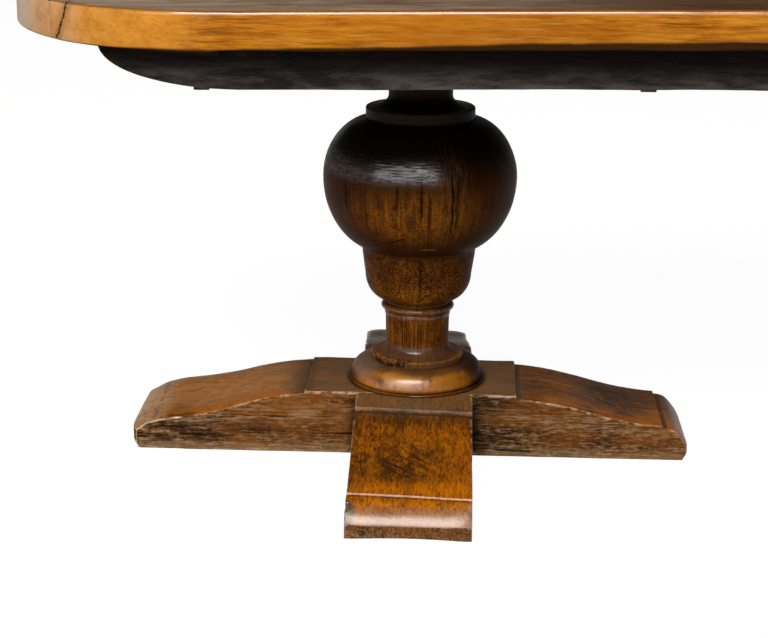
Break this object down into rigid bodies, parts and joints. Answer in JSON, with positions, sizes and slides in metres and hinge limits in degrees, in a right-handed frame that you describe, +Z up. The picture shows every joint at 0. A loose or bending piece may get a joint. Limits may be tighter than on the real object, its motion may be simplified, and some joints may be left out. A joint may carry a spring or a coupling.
{
  "type": "refectory table",
  "caption": "Long oak dining table with a thick round-ended plank top on long rails and bulbous turned pedestals standing on crossed, ogee-shaped feet.",
  "frame": {"origin": "on the floor, under the centre of the table top", "axes": "+X along the table's length, +Y across it towards the back long side, +Z up"},
  "size_m": [2.62, 0.98, 0.76],
  "materials": {
    "top_oak": "waxed oak, worn glossy, rounded arrises",
    "rail_oak": "dark dusty oak, matt",
    "turned_oak": "turned oak with dark waxed patina",
    "foot_oak": "waxed oak tops, raw weathered sides",
    "joint_oak": "plain split oak",
    "iron": "blackened iron, lightly rusted"
  },
  "bodies": {
    "root": {"front_board": "top_oak", "front_middle_board": "top_oak", "back_middle_board": "top_oak", "back_board": "top_oak", "left_end_cleat": "top_oak", "right_end_cleat": "top_oak", "front_rail": "rail_oak", "back_rail": "rail_oak", "left_bearer": "rail_oak", "right_bearer": "rail_oak", "middle_bearer": "rail_oak", "left_post": "turned_oak", "right_post": "turned_oak", "left_base_ring": "turned_oak", "right_base_ring": "turned_oak", "left_long_foot": "foot_oak", "left_cross_foot": "foot_oak", "right_long_foot": "foot_oak", "right_cross_foot": "foot_oak", "front_tongue": "joint_oak", "middle_tongue": "joint_oak", "back_tongue": "joint_oak", "cleat_pegs": "joint_oak", "left_foot_wedge": "joint_oak", "right_foot_wedge": "joint_oak", "left_head_wedge": "joint_oak", "right_head_wedge": "joint_oak", "coach_screws": "iron"}
  },
  "joints": []
}
